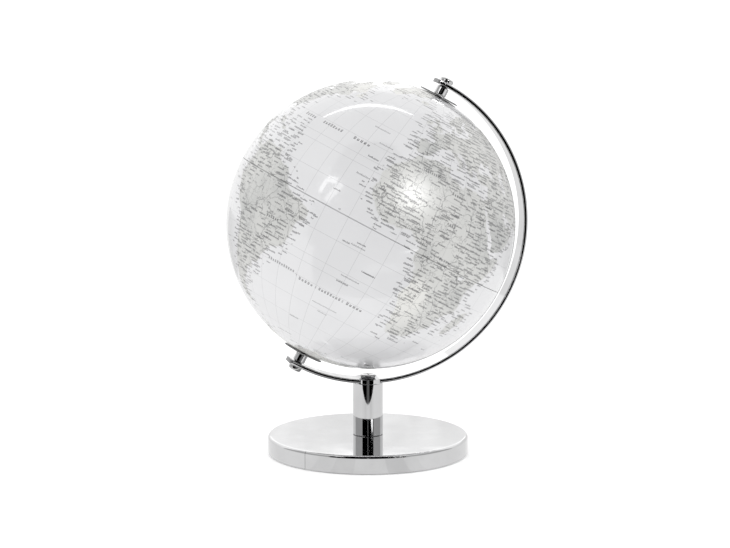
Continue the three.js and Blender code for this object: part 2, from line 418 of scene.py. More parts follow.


# ---------------------------------------------------------------- the map that the ball carries

# Coarse outlines of land as (longitude, latitude) in degrees. roughen() adds
# the small bays. Longitudes past 180 belong to shapes that cross the date line.
LAND = {
    "Africa": [
        (-6, 35.8), (-7.6, 33.6), (-9.8, 30.4), (-12.9, 27.9), (-16, 23.7), (-17, 20.9), (-16.2, 18),
        (-17.5, 14.7), (-16.5, 12), (-13.7, 9.4), (-10.8, 6.3), (-7.7, 4.4), (-4, 5.3), (-2, 4.8),
        (1.3, 6.1), (3.4, 6.4), (6, 4.3), (9.5, 4), (9.4, 0.4), (8.8, -0.7), (11.8, -4.8),
        (13.2, -8.8), (13.6, -12.4), (11.8, -17.3), (14.5, -23), (15.2, -26.6), (16.5, -28.6),
        (18, -32.7), (18.4, -34.3), (20, -34.8), (25.7, -34), (31, -29.9), (32.8, -26.4), (35.5, -23.8),
        (34.9, -19.9), (40.8, -15), (40.5, -10.7), (39.5, -6.8), (39.7, -4), (42.5, -0.4), (45.4, 2),
        (49.8, 8), (51.3, 11.6), (45, 10.5), (43.2, 11.6), (39.5, 15.6), (37.2, 19.6), (35.6, 24),
        (33.8, 27.2), (32.5, 29.9), (32.3, 31.2), (29.9, 31.2), (24, 32), (20, 32.6), (19, 30.3),
        (15.1, 32.4), (10.1, 33.9), (11, 37), (9.9, 37.3), (3, 36.8), (-0.6, 35.7), (-3, 35.3)],
    "Eurasia": [
        (-5.6, 36), (-9, 37), (-9.5, 38.7), (-9.2, 43), (-7.7, 43.8), (-1.5, 43.5), (-1.2, 45.5),
        (-4.7, 48), (-1.8, 49.7), (1.8, 50.9), (4.8, 53), (8.7, 53.9), (8.1, 56), (10.6, 57.7),
        (10, 54.5), (18.8, 54.5), (21, 55.3), (24, 57.1), (23.5, 59.2), (29.8, 59.9), (22, 60.4),
        (21.3, 63), (25.3, 65), (22.2, 65.6), (17.2, 60.7), (18.9, 59.8), (16.4, 56.7), (13, 55.4),
        (10.6, 59.3), (7, 58), (5, 60.5), (9, 63.5), (14, 67.3), (25.8, 71.1), (36, 69), (41, 67),
        (33, 66.8), (40, 64.6), (44, 66), (43.5, 68.6), (54, 68.6), (68, 68.5), (67, 70), (70, 73),
        (73, 71), (72.5, 67), (75, 72.3), (87, 75), (104, 77.7), (112, 74), (127, 73), (137, 71.5),
        (150, 71.5), (161, 69.5), (170, 70), (190, 66.2), (179, 62.5), (170, 60), (163.5, 58),
        (160, 53), (156.7, 51), (155.7, 55), (157, 58), (163.5, 61.5), (151, 59.3), (143, 59.3),
        (137.5, 54), (141, 53), (140.3, 49), (132, 43.2), (127.7, 39.5), (129.3, 35.4), (126.4, 34.6),
        (125, 39.6), (121.5, 39), (121.5, 40.8), (118, 39), (122.5, 37.2), (119.3, 35), (121.8, 31.3),
        (121, 28), (114, 22.3), (110.5, 20.5), (107, 20.8), (105.8, 18.8), (109.3, 12.5),
        (104.8, 8.6), (100.6, 13.5), (99.2, 10), (102.3, 6.2), (104, 1.4), (101, 3), (98.3, 8),
        (98.5, 13), (97.5, 16.5), (94, 18.5), (91.8, 22.3), (88.5, 21.7), (83, 17.5), (80.3, 15.7),
        (79.8, 10.3), (77.5, 8.1), (73.8, 15.5), (72.8, 19), (72.7, 21.5), (69, 22.3), (67, 24.8),
        (61.5, 25.2), (57, 27), (51, 28.8), (48.7, 30.2), (50.2, 26.5), (54, 24.3), (56.4, 26.2),
        (59.8, 22.5), (57.8, 19.5), (54, 17), (45, 12.8), (43.5, 12.7), (42.4, 17), (39.1, 21.5),
        (35, 28.1), (34.3, 27.8), (32.6, 30), (32.5, 31.1), (34.3, 31.4), (36.1, 36.7), (30.6, 36.8),
        (26.5, 38.4), (26.3, 40), (29, 41.2), (35, 42), (41.6, 41.6), (37, 45), (39.2, 47.2),
        (35, 46), (33.5, 44.5), (30.8, 46.5), (28, 43.2), (28.8, 41.3), (23, 40.5), (24, 37.8),
        (22.5, 36.5), (20, 39.6), (19.4, 41.8), (14.5, 45.2), (12.4, 45.3), (13.6, 43.6), (18.5, 40.1),
        (17, 40.5), (15.8, 38), (14.3, 40.7), (10.3, 43.5), (8.8, 44.4), (4.8, 43.4), (3.1, 43),
        (-0.3, 39.4), (-0.9, 37.6), (-2.2, 36.8)],
    "North America": [
        (-168, 65.7), (-162, 63.5), (-165, 60.5), (-158, 58.7), (-164, 54.8), (-153, 58), (-151, 60),
        (-145, 60.5), (-136, 58.3), (-130.5, 54.5), (-123.5, 49), (-124.4, 40.4), (-120.5, 34.5),
        (-117.2, 32.6), (-112.2, 27), (-110, 23), (-114.7, 31.2), (-106.4, 23.2), (-105.6, 20.4),
        (-99.9, 16.8), (-95, 16.1), (-87.6, 13), (-85.7, 10), (-80.3, 7.3), (-77.8, 7.3),
        (-77.4, 8.6), (-79.9, 9.4), (-83.7, 12), (-83.2, 15), (-88.3, 16.5), (-87, 21.5), (-90.3, 21),
        (-91, 19), (-96, 19.2), (-97.5, 25), (-94.8, 29.4), (-89.3, 29.2), (-84, 30), (-81, 25.2),
        (-81.4, 30.5), (-75.6, 35.3), (-73.9, 40.6), (-70, 41.8), (-70, 43.7), (-65.5, 43.6),
        (-61, 45.3), (-64.3, 48.8), (-69, 48.3), (-57, 51.5), (-61.5, 56.5), (-64.6, 60.3),
        (-68.5, 58.5), (-78, 62.4), (-76.6, 57), (-79.3, 51.5), (-82.4, 55.2), (-92.3, 57),
        (-94.3, 60), (-86.2, 66.5), (-82, 69.5), (-94.5, 71.9), (-96, 68.2), (-115, 68),
        (-125, 70), (-135, 69.4), (-156.5, 71.3), (-166, 68.5), (-162, 66.5)],
    "South America": [
        (-77.4, 8.6), (-75.5, 10.5), (-71.8, 12.4), (-71.5, 10.9), (-67, 10.6), (-62, 10.7),
        (-60.8, 8.6), (-57, 6), (-52.3, 5), (-50, 0.8), (-48.2, -0.7), (-44.2, -2.5), (-38.5, -3.7),
        (-35.3, -5.3), (-34.9, -8), (-38.5, -13), (-39.1, -17.7), (-42, -23), (-48.6, -26.5),
        (-52.2, -32.2), (-54.9, -34.9), (-58.4, -34.3), (-57.6, -38.1), (-62.2, -38.9),
        (-63.7, -42.5), (-67.4, -46), (-69, -51.5), (-65.2, -54.7), (-67.3, -55.9), (-72, -54),
        (-75.5, -48), (-73.5, -39.8), (-71.6, -33), (-70.4, -18.4), (-76.3, -14), (-79, -8.5),
        (-81.3, -4.7), (-80, 0.8), (-77.4, 3.8), (-77.6, 6.8)],
    "Greenland": [
        (-73, 78.2), (-60, 82), (-35, 83.6), (-20, 81.5), (-20, 73.5), (-32, 68), (-43, 60.1),
        (-49, 61.5), (-53.5, 66.5), (-55, 72), (-60, 75.8)],
    "Antarctica": [
        (-180, -78.5), (-160, -78.5), (-140, -75), (-120, -74), (-100, -72.5), (-80, -73), (-68, -69),
        (-60, -64), (-57.5, -63.3), (-61, -68), (-62, -74), (-50, -78), (-35, -78), (-20, -73.5),
        (-8, -70.5), (10, -70), (30, -69.5), (45, -67.5), (57, -66.5), (70, -69.5), (80, -67.5),
        (100, -66), (120, -66.5), (140, -66.5), (160, -70), (166, -77.5), (180, -78.5),
        (180, -90), (-180, -90)],
    "Australia": [
        (142.5, -10.8), (145.3, -15), (150.8, -23.3), (153.5, -28), (150, -37.4), (146.4, -39),
        (140, -37.5), (137.8, -33), (135.5, -34.8), (131.5, -31.5), (123.5, -34), (118, -35),
        (115, -34.3), (113.5, -26), (114, -22), (122.3, -18), (129, -15), (131, -12.2),
        (136.8, -12.2), (135.7, -15), (139.5, -17.5), (141.6, -14)],
    "New Guinea": [(131, -1), (138, -1.7), (144, -4), (150.5, -10.5), (143, -8.8), (138.5, -8), (133, -4)],
    "Borneo": [(109, 1.5), (113, 3), (117, 7), (119, 5), (117.5, 0.8), (116, -4), (110.5, -3)],
    "Sumatra": [(95.5, 5.5), (98, 4.2), (103.5, 0.8), (106, -3.2), (105.5, -5.8), (100.5, -1.5)],
    "Java": [(105.3, -6.7), (110.8, -6.5), (114.5, -7.8), (114.3, -8.6), (108, -7.8)],
    "Sulawesi": [(120, 0.8), (125, 1.5), (121.3, -1), (122.8, -5), (120.5, -5.6), (119.3, -3)],
    "Luzon": [(120.5, 18.3), (122.3, 18.2), (124, 12.8), (120.7, 13.8)],
    "Mindanao": [(122.2, 7.5), (125.5, 9.7), (126.5, 7), (125.3, 5.8)],
    "Honshu": [(130.9, 34.2), (136.8, 37), (140, 40.5), (141.8, 40), (140.8, 35.8), (135.8, 33.6)],
    "Hokkaido": [(140.2, 41.8), (141.8, 45.4), (145.3, 43.4), (143.2, 42)],
    "Kyushu": [(129.8, 33.2), (132, 33.3), (131, 31.2)],
    "Taiwan": [(121.6, 25.2), (120.9, 22), (120.1, 23.3)],
    "Hainan": [(108.8, 19.3), (110.9, 20), (109.6, 18.3)],
    "Ceylon": [(80, 9.7), (81.8, 7.3), (80.5, 6)],
    "Sakhalin": [(142.3, 54.2), (143.5, 49.3), (142.3, 46.2), (141.9, 50)],
    "Madagascar": [(49.3, -12.1), (50.4, -15.6), (47.2, -25), (44, -25), (43.5, -22), (44.4, -16.3)],
    "Tasmania": [(144.8, -40.8), (148.3, -40.9), (146.9, -43.5)],
    "New Zealand north": [(172.8, -34.5), (178.4, -37.7), (175.3, -41.5), (174.6, -37.5)],
    "New Zealand south": [(172.7, -40.6), (174.2, -41.7), (170.5, -46), (166.6, -45.8)],
    "Britain": [(-5.5, 50.1), (1.4, 51.2), (1.6, 52.8), (-1.8, 55.6), (-2, 57.6), (-5, 58.5), (-5.5, 56),
                (-3, 54), (-4.8, 52.5)],
    "Ireland": [(-10, 51.7), (-6.3, 52.2), (-6, 54.8), (-8.5, 55), (-10, 54)],
    "Iceland": [(-22.5, 64), (-18.5, 63.4), (-13.6, 65), (-16, 66.5), (-22.5, 66.3)],
    "Svalbard": [(12, 79.5), (27, 80), (17, 76.6)],
    "Novaya Zemlya": [(52, 71), (57, 70.7), (60, 75), (68.5, 76.8), (60, 76.3), (54, 73.5)],
    "Cuba": [(-84.8, 22), (-80.5, 23.1), (-74.3, 20.2), (-77.8, 19.9), (-82, 22.3)],
    "Hispaniola": [(-74.4, 18.4), (-72.5, 19.9), (-68.5, 18.5), (-71.5, 17.8)],
    "Puerto Rico": [(-67.2, 18.5), (-65.6, 18.4), (-66.5, 17.9)],
    "Jamaica": [(-78.3, 18.4), (-76.2, 18.1), (-77.3, 17.8)],
    "Bahamas": [(-78.5, 26.5), (-77.1, 26.4), (-77.8, 24.2)],
    "Turks Islands": [(-72.6, 22), (-71.5, 21.8), (-72.1, 21.4)],
    "Guadeloupe": [(-61.8, 16.4), (-61.2, 16.2), (-61.5, 15.4)],
    "Saint Vincent": [(-61.3, 13.5), (-60.9, 13.2), (-61.2, 12.9)],
    "Trinidad": [(-61.8, 10.8), (-60.9, 10.8), (-61.4, 10.1)],
    "Baffin": [(-62, 66), (-68, 70), (-80, 73.7), (-89, 73), (-80, 70), (-73, 64.3), (-65, 62)],
    "Victoria": [(-117, 72.8), (-105, 72.8), (-102, 69.5), (-116, 69)],
    "Ellesmere": [(-90, 76.5), (-78, 76.5), (-62, 82.5), (-85, 82)],
    "Newfoundland": [(-59.3, 47.7), (-55.6, 51.5), (-52.8, 47.5), (-55.5, 46.9)],
    "Sicily": [(12.5, 38), (15.6, 38.2), (15.1, 36.7)],
    "Sardinia": [(8.3, 40.9), (9.7, 40.9), (9.5, 39.2), (8.5, 39)],
    "Crete": [(23.6, 35.5), (26.3, 35.2), (24.8, 34.9)],
    "Cyprus": [(32.4, 34.9), (34.4, 35.6), (33.6, 34.8)],
}
LAKES = {
    "Caspian": [(47, 44.5), (51.5, 46.8), (53, 45), (51, 43), (53.8, 39.5), (51.5, 36.8), (49.3, 38)],
    "Victoria": [(31.8, -0.8), (34, 0.2), (33.5, -2.4), (32, -2.4)],
    "Superior": [(-92, 46.8), (-88, 48.8), (-84.6, 46.7), (-87.5, 46.6)],
    "Michigan": [(-87.6, 42), (-86, 45.8), (-80.3, 45.2), (-82.2, 43.2), (-84.5, 44.8)],
    "Baikal": [(104, 51.7), (109.5, 55.3), (108.8, 53)],
    "Aral": [(58.5, 44), (60, 46.5), (61.3, 45)],
}

# Places as (longitude, latitude, reach in degrees, amount): where names crowd or thin out, and
# where the land is darker or lighter. That second list is partly the land's printed tint and
# partly painted light: darker spots near the ball's left and right rims are painted shade, and
# lighter spots under the right lamp's highlight and near the top rim are painted highlight.
CROWDED = [
    (10, 49, 18, 0.35), (40, 35, 16, 0.25), (-72, 17, 14, 0.3), (-6, 9, 10, 0.1), (-60, -5, 12, -0.35),
    (4, 25, 11, -0.15), (-10, 23, 7, -0.2), (-45, -10, 9, -0.2), (90, 60, 25, -0.2), (-100, 55, 18, -0.2),
    (25, 25, 9, -0.15), (130, -25, 14, -0.15), (0, -85, 20, -0.5), (-42, 72, 14, -0.4),
    (-64, 17, 12, 0.55), (14, -20, 9, -0.4), (22, -29, 6, -0.25), (-60, 55, 13, -0.5), (34, 8, 12, 0.3),
    (-56, -32, 10, 0.3), (40, -12, 9, 0.3)]
LAND_TINT_AND_PAINTED_LIGHT = [
    (-50, 1, 8, 0.9), (12, 0, 7, 0.9), (-3, 42, 6, 0.8), (2, 33, 8, 0.7), (47, 21, 10, 0.8),
    (-44, -14, 9, 0.7), (-60, -5, 9, 0.4), (20, 28, 6, 0.2), (15, -20, 13, -0.7), (-10, 12, 8, -0.4),
    (-66, -33, 9, -0.3), (30, -5, 9, 0.2), (8, 13, 8, -0.2), (80, 33, 12, 0.8), (-108, 40, 14, 0.6),
    (110, 55, 18, 0.4), (-70, -15, 10, 0.9), (0, -80, 60, -1.0), (-42, 72, 14, -1.3), (-60, 55, 13, -1.1),
    (-56, -31, 10, 0.9), (38, 14, 9, 0.6), (37, -10, 9, 0.7), (1, 18, 9, -0.5), (17, -12, 8, -0.6)]

# Names too large for the small print, shown only as rows of plain strokes: the first stroke's
# longitude and latitude, how many strokes, how far apart they are and how tall, in millimetres.
CAPTIONS = [
    (-68, 28, 5, 2.6, 2.4), (-54.4, 28, 8, 2.35, 2.4), (-36.4, 28, 5, 2.8, 2.4),
    (-46.5, -29.8, 12, 1.9, 1.9), (-28.9, -31.6, 5, 2.3, 2.4), (-18.6, -31.6, 8, 2.1, 2.4),
    (-4.8, -31.6, 5, 2.5, 2.4), (-53, -14.6, 6, 2.0, 2.2), (-1.2, 30.2, 7, 1.56, 1.9),
    (16, 15, 4, 1.9, 2.0), (14, 26.5, 5, 1.9, 2.0), (19, 1.5, 5, 1.9, 2.0),
    (65, -12, 6, 3.2, 2.6), (72, -32, 5, 3.2, 2.6), (165, 12, 7, 3.4, 2.8), (-150, -18, 7, 3.4, 2.8),
    (-175, 38, 5, 3.2, 2.6), (-140, -45, 5, 3.2, 2.6), (100, 35, 5, 2.6, 2.4), (85, 62, 6, 3, 2.6),
    (125, -25, 9, 2.6, 2.4), (-105, 40, 6, 2.6, 2.4), (-110, 60, 6, 2.6, 2.4), (78, 22, 5, 2.2, 2.2),
    (-14.5, -8.6, 13, 0.8, 1.2), (-6, -16.3, 13, 0.8, 1.2), (-12.5, -21.3, 18, 0.75, 1.1),
    (-19, -37.6, 24, 0.75, 1.0), (-15, -41, 9, 0.8, 1.0), (-32, 37.4, 15, 0.8, 1.2),
    (-25, 31.5, 13, 0.8, 1.1), (-26, 16.2, 12, 0.85, 1.2), (-45, 0.8, 2, 0.9, 1.2),
    (-25, 0.8, 2, 0.9, 1.2), (15, 0.8, 2, 0.9, 1.2)]

GRID_STEP = 0.75
COAST_STEP = 0.6
GORE_WIDTH = 60
CAPTION_MARGIN = 1.2
# Where longitude 0 stands from the ball frame's X, and how many millimetres one degree is.
MAP_TURN = 93.55
DEGREE = math.radians(1) * ball_radius
POLE_GAP = 3.25
FILM_LOW = ball_radius + 0.02
FILM_HIGH = ball_radius + 0.10


def on_sphere(longitude, latitude):
    """Unit vectors for arrays of degrees."""
    east = np.radians(longitude)
    north = np.radians(latitude)
    flat = np.cos(north)
    return np.stack([flat * np.cos(east), flat * np.sin(east), np.sin(north)], axis=-1)


def roughen(outline, random):
    """Splits an outline's edges until they are short, moving each new point a little sideways."""
    points = [np.array(p, float) for p in outline]
    longest = 90.0
    while longest > COAST_STEP:
        finer = []
        longest = 0.0
        for here, there in zip(points, points[1:] + points[:1]):
            finer.append(here)
            edge = there - here
            length = math.hypot(edge[0] * math.cos(math.radians(here[1])), edge[1])
            if length > COAST_STEP:
                sideways = np.array([-edge[1], edge[0]]) * random.normal(0, 0.09)
                finer.append((here + there) / 2 + sideways)
            longest = max(longest, length / 2)
        points = finer
    return np.array(points)


def inside(outline, longitude, latitude):
    """Which of the points lie in the outline, by counting the edges to the east of each."""
    found = np.zeros(longitude.shape, bool)
    nearby = (latitude >= outline[:, 1].min()) & (latitude <= outline[:, 1].max())
    x = longitude[nearby]
    y = latitude[nearby]
    odd = np.zeros(x.shape, bool)
    for (x1, y1), (x2, y2) in zip(outline, np.roll(outline, -1, axis=0)):
        if y1 == y2:
            continue
        spans = (y1 > y) != (y2 > y)
        odd ^= spans & (x < x1 + (y - y1) / (y2 - y1) * (x2 - x1))
    found[nearby] = odd
    return found


def coast_distance(longitude, latitude):
    """Distance to the nearest shore in millimetres on the ball, positive on land."""
    random = np.random.default_rng(7)
    land = np.zeros(longitude.shape, bool)
    starts, ends = [], []
    for outlines, value in ((LAND, True), (LAKES, False)):
        for outline in outlines.values():
            shore = roughen(outline, random)
            for turn in (0, 360):
                land[inside(shore, longitude + turn, latitude)] = value
            points = on_sphere(shore[:, 0], shore[:, 1])
            starts.append(points)
            ends.append(np.roll(points, -1, axis=0))
    starts = np.concatenate(starts)
    ends = np.concatenate(ends)
    tree = KDTree(len(starts))
    for index, point in enumerate((starts + ends) / 2):
        tree.insert(point, index)
    tree.balance()
    places = on_sphere(longitude, latitude)
    nearest = np.array([tree.find(p)[1] for p in places])
    edge = ends[nearest] - starts[nearest]
    along = np.einsum("ij,ij->i", places - starts[nearest], edge) / np.einsum("ij,ij->i", edge, edge)
    foot = starts[nearest] + edge * np.clip(along, 0, 1)[:, None]
    away = np.linalg.norm(places - foot, axis=1) * ball_radius
    return np.where(land, away, -away)


def spots(places, longitude, latitude):
    """The sum of soft round spots, each of its own reach and amount."""
    here = on_sphere(longitude, latitude)
    total = np.zeros(longitude.shape)
    for east, north, reach, amount in places:
        middle = on_sphere(np.array(east), np.array(north))
        angle = np.degrees(np.arccos(np.clip(here @ middle, -1, 1)))
        total += amount * np.exp(-(angle / reach) ** 2)
    return total


def caption_values(longitude, latitude):
    """For each point, where it lies in the nearest caption: strokes from its start, strokes from
    its end, height as a share of its own, and 1 if it is in a caption's box at all."""
    place, rest, height, shown = (np.zeros(longitude.shape) for _ in range(4))
    for east, north, count, pitch, tall in CAPTIONS:
        strokes = (longitude - east) * DEGREE * math.cos(math.radians(north)) / pitch
        share = (latitude - north) * DEGREE / tall
        across = CAPTION_MARGIN * DEGREE / pitch
        above = CAPTION_MARGIN * DEGREE / tall
        box_here = (strokes > -across) & (strokes < count + across) & (share > -above) & (share < 1 + above)
        place[box_here] = strokes[box_here]
        rest[box_here] = count - strokes[box_here]
        height[box_here] = share[box_here]
        shown[box_here] = 1
    return {"caption_place": place, "caption_rest": rest, "caption_height": height, "caption_on": shown}


def gore(name, grid, columns, rows, values, material):
    """One printed gore: a thin curved film over a block of the grid, with the map's values on it."""
    block = grid[rows][:, columns]
    high = block.reshape(-1, 3)
    wide = block.shape[1]
    count = len(high)
    points = np.concatenate([high * FILM_HIGH, high * FILM_LOW])
    faces = []
    for row in range(block.shape[0] - 1):
        for column in range(wide - 1):
            corner = row * wide + column
            quad = (corner, corner + 1, corner + wide + 1, corner + wide)
            faces.append(quad)
            faces.append(tuple(count + i for i in reversed(quad)))
    outward = len(faces)
    bottom = list(range(wide))
    right = list(range(wide - 1, count, wide))
    top = list(range(count - 1, count - wide - 1, -1))
    left = list(range(count - wide, -1, -wide))
    for side in (bottom, right, top, left):
        for here, there in zip(side, side[1:]):
            faces.append((there, here, count + here, count + there))
    film = mesh_object(name, points.tolist(), faces, ball_frame)
    mesh = film.data
    normals = []
    outwards = high @ np.array(ball_frame.to_3x3()).T
    directions = np.concatenate([outwards, -outwards])
    for face in mesh.polygons:
        for vertex in face.vertices:
            normals.append(directions[vertex] if face.index < outward else face.normal)
    mesh.normals_split_custom_set(normals)
    for label, value in values.items():
        attribute = mesh.attributes.new(label, "FLOAT", "POINT")
        attribute.data.foreach_set("value", np.tile(value[rows][:, columns].ravel(), 2).astype(np.float32))
    finish_piece(film, material, "ball", "print")
    return film


def make_print(material):
    """The twelve gores of the map, six to each half of the ball."""
    longitudes = np.arange(-180, 180 + GRID_STEP / 2, GRID_STEP)
    half = int(round((90 - POLE_GAP) / GRID_STEP))
    north = np.linspace(0.08, 90 - POLE_GAP, half + 1)
    latitudes = np.concatenate([-north[::-1], north])
    longitude, latitude = np.meshgrid(longitudes, latitudes)
    flat = (longitude.ravel(), latitude.ravel())
    shape = longitude.shape
    values = {
        "longitude": longitude,
        "latitude": latitude,
        "coast": coast_distance(*flat).reshape(shape),
        "crowd": spots(CROWDED, *flat).reshape(shape),
        "shade": spots(LAND_TINT_AND_PAINTED_LIGHT, *flat).reshape(shape),
        **caption_values(longitude, latitude)}
    grid = on_sphere(longitude - MAP_TURN, latitude)
    across = int(GORE_WIDTH / GRID_STEP)
    for half_name, rows in (("South", slice(0, half + 1)), ("North", slice(half + 1, None))):
        for number in range(360 // GORE_WIDTH):
            columns = slice(number * across, (number + 1) * across + 1)
            gore(f"{half_name}_Gore_{number + 1}", grid, columns, rows, values, material)


def attribute(tree, name):
    """A number stored on the mesh's vertices."""
    node = tree.nodes.new("ShaderNodeAttribute")
    node.attribute_name = name
    return Field(tree, node.outputs["Fac"])


# Printed sizes in millimetres on the ball's surface.
LINE_WIDTH = 0.22
STROKE_PITCH = 0.7
EQUATOR_WIDTH = 0.7
TROPIC = 23.44
POLAR_CIRCLE = 66.56

OCEAN = (0.675, 0.675, 0.685)
LAND_TINT = (0.595, 0.595, 0.58)
LAND_DARK = (0.49, 0.495, 0.485)
LAND_PALE = (0.72, 0.715, 0.69)
LINE_GREY = (0.30, 0.30, 0.31)
INK = (0.10, 0.10, 0.105)


def print_rows(tree, latitude, longitude, crowd, pitch, word, seed):
    """A layer of small print: rows along the parallels, in words of uneven length and place.

    It draws strokes, not letters. pitch is the height of a row and word the room for a word.
    """
    rows_up = latitude * (DEGREE / pitch)
    row = rows_up.floor()
    shrink = ((row + 0.5) * (pitch / DEGREE * math.pi / 180)).cos()
    east = longitude * shrink * DEGREE
    cell = east / word + dice(tree, row, seed) * 7
    number = cell.floor()
    across = cell.fract()
    chance = dice(tree, number, row, seed + 1)
    start = dice(tree, number, row, seed + 2) * 0.25
    length = 0.35 + 0.38 * dice(tree, number, row, seed + 3)
    shown = crowd.math("SUBTRACT", chance).above(0)
    within = (across - start).above(0) * (start + length - across).above(0)
    stroke = east / STROKE_PITCH
    height = 0.22 + 0.2 * dice(tree, stroke.floor(), row, seed + 4)
    base = 0.12 + 0.4 * dice(tree, number, row, seed + 5)
    tall = rows_up.fract() - base
    inked = tall.above(0) * (height - tall).above(0) * (0.68 - stroke.fract()).above(0)
    return shown * within * inked


def print_captions(tree):
    """The large names, each a row of strokes of uneven height along its parallel."""
    place = attribute(tree, "caption_place")
    rest = attribute(tree, "caption_rest")
    height = attribute(tree, "caption_height")
    within = attribute(tree, "caption_on").above(0.99) * place.above(0) * rest.above(0)
    top = 0.6 + 0.4 * dice(tree, place.floor(), rest.floor())
    across = place.fract()
    uprights = (across - 0.3).abs().below(0.1).either((across - 0.62).abs().below(0.1))
    foot = height.below(0.18) * (across - 0.46).abs().below(0.24)
    return within * height.above(0) * (top - height).above(0) * uprights.either(foot)


def make_map_material():
    """Glossy pale sea, satin silver-grey land, a grey grid and dark small print."""
    material, tree, shader = new_material("Printed_Map")
    where = position(tree)
    latitude = attribute(tree, "latitude")
    longitude = attribute(tree, "longitude")
    ragged = noise(tree, where, 420, detail=5, roughness=0.65)
    coast = attribute(tree, "coast") + (ragged - 0.5) * 1.6
    land = coast.ramp(-0.12, 0.12)
    shrink = (latitude * (math.pi / 180)).cos()

    # Tint: blotched and shaded land, and a sea a little uneven in tone.
    relief = noise(tree, where, 60, detail=6, roughness=0.6)
    hills = noise(tree, where, 260, detail=4, roughness=0.7)
    shade = attribute(tree, "shade")
    # The shade attribute is partly printed tint and partly painted light: painted shade near the left and
    # right rims, painted highlight under the right lamp and near the top rim.
    dark = shade + (relief - 0.5) * 1.3 + (hills - 0.5) * 0.5
    land_colour = blend_colours(tree, dark.ramp(-0.1, 1.1), LAND_TINT, LAND_DARK)
    land_colour = blend_colours(tree, (0 - shade).ramp(0.5, 1.2), land_colour, LAND_PALE)
    shelf = noise(tree, where, 25, detail=3)
    sea_colour = blend_colours(tree, shelf.ramp(0.3, 0.7), OCEAN, tuple(0.97 * c for c in OCEAN))
    tint = blend_colours(tree, land, sea_colour, land_colour)

    # Grid: every ten degrees, and the tropics and polar circles.
    to_meridian = (((longitude + 5) / 10).fract() - 0.5).abs() * shrink * (10 * DEGREE)
    to_parallel = (((latitude + 5) / 10).fract() - 0.5).abs() * (10 * DEGREE)
    meridian = to_meridian.below(LINE_WIDTH / 2) * latitude.abs().below(80.5)
    grid = meridian.either(to_parallel.below(LINE_WIDTH / 2))
    for circle in (TROPIC, POLAR_CIRCLE):
        grid = grid.either((latitude.abs() - circle).abs().below(LINE_WIDTH / 2 / DEGREE))
    from_equator = latitude.abs() * DEGREE
    equator = (from_equator - EQUATOR_WIDTH / 2).abs().below(LINE_WIDTH / 2)

    # Rivers and borders: level lines of noise, and edges between uneven cells.
    river = (noise(tree, where, 38, detail=5, roughness=0.6) - 0.5).abs().below(0.0022)
    stream = (noise(tree, where, 95, detail=4, roughness=0.6) - 0.52).abs().below(0.0045)
    shift = tree.nodes.new("ShaderNodeVectorMath")
    shift.operation = "MULTIPLY_ADD"
    wander = tree.nodes.new("ShaderNodeTexNoise")
    wander.inputs["Scale"].default_value = 160
    tree.links.new(where, wander.inputs["Vector"])
    tree.links.new(wander.outputs["Color"], shift.inputs[0])
    shift.inputs[1].default_value = (0.007, 0.007, 0.007)
    tree.links.new(where, shift.inputs[2])
    cells = tree.nodes.new("ShaderNodeTexVoronoi")
    cells.feature = "DISTANCE_TO_EDGE"
    cells.inputs["Scale"].default_value = 62
    tree.links.new(shift.outputs[0], cells.inputs["Vector"])
    border = Field(tree, cells.outputs["Distance"]).below(0.009)
    thin_lines = border.either(river).either(stream) * coast.above(0.4)

    # Small print: thick on the coasts and on both sides of them, thinner inland, rare at sea.
    near_shore = 0.88 - (coast - 3).abs().ramp(4, 12) * 0.3
    place_crowd = attribute(tree, "crowd")
    at_sea = coast.ramp(-10, -3).either(place_crowd.ramp(0.3, 0.6) * 0.6)
    crowd = (near_shore + place_crowd) * at_sea + (coast.below(-9) * 0.012)
    names = print_rows(tree, latitude, longitude, crowd, 2.7, 11.5, 11)
    more = print_rows(tree, latitude + 0.61, longitude, crowd * 0.65, 3.3, 14.0, 47)
    small = names.either(more)
    captions = print_captions(tree)

    lined = blend_colours(tree, grid * 0.55, tint, LINE_GREY)
    lined = blend_colours(tree, equator * 0.22, lined, LINE_GREY)
    lined = blend_colours(tree, thin_lines * 0.62, lined, INK)
    lettered = blend_colours(tree, small * 0.85, lined, INK)
    lettered = blend_colours(tree, captions * 0.95, lettered, INK)
    tree.links.new(lettered, shader.inputs["Base Color"])

    # The sea is glossy film. The land's metallic ink is satin, with less of the gloss coat on it.
    (land * 0.12).drive(shader.inputs["Metallic"])
    (0.22 + land * 0.16 + (hills - 0.5) * 0.06).drive(shader.inputs["Roughness"])
    (1 - land).drive(shader.inputs["Coat Weight"])
    shader.inputs["Coat Roughness"].default_value = 0.035
    shader.inputs["Coat IOR"].default_value = 1.5
    add_bump(tree, shader, land * 0.6 + small * 0.4, 0.00002, 0.5)
    return material


# ---------------------------------------------------------------- materials

chrome = polished_metal("Chrome", (0.66, 0.66, 0.665), 0.035, 0.00004)
base_chrome = polished_metal("Base_Chrome", (0.67, 0.67, 0.675), 0.05, 0.0001)
screw_chrome = polished_metal("Screw_Chrome", (0.6, 0.6, 0.6), 0.09, 0.00002)
plate_chrome = polished_metal("Plate_Chrome", (0.4, 0.4, 0.405), 0.2, 0.00002, edge=0.25)
sawn_chrome = rough_metal("Sawn_Chrome", (0.42, 0.42, 0.425), 0.4, 2500, 0.00002)
steel = rough_metal("Zinc_Steel", (0.55, 0.56, 0.58), 0.3, 3000, 0.00002)
iron = rough_metal("Cast_Iron", (0.12, 0.12, 0.125), 0.6, 1400, 0.0002)
white_plastic = moulded_plastic("White_Plastic", (0.75, 0.75, 0.73), 0.42)
black_fibre = moulded_plastic("Black_Fibre", (0.02, 0.02, 0.022), 0.6)
foam = moulded_plastic("Foam", (0.012, 0.012, 0.013), 0.9)
printed_map = make_map_material()

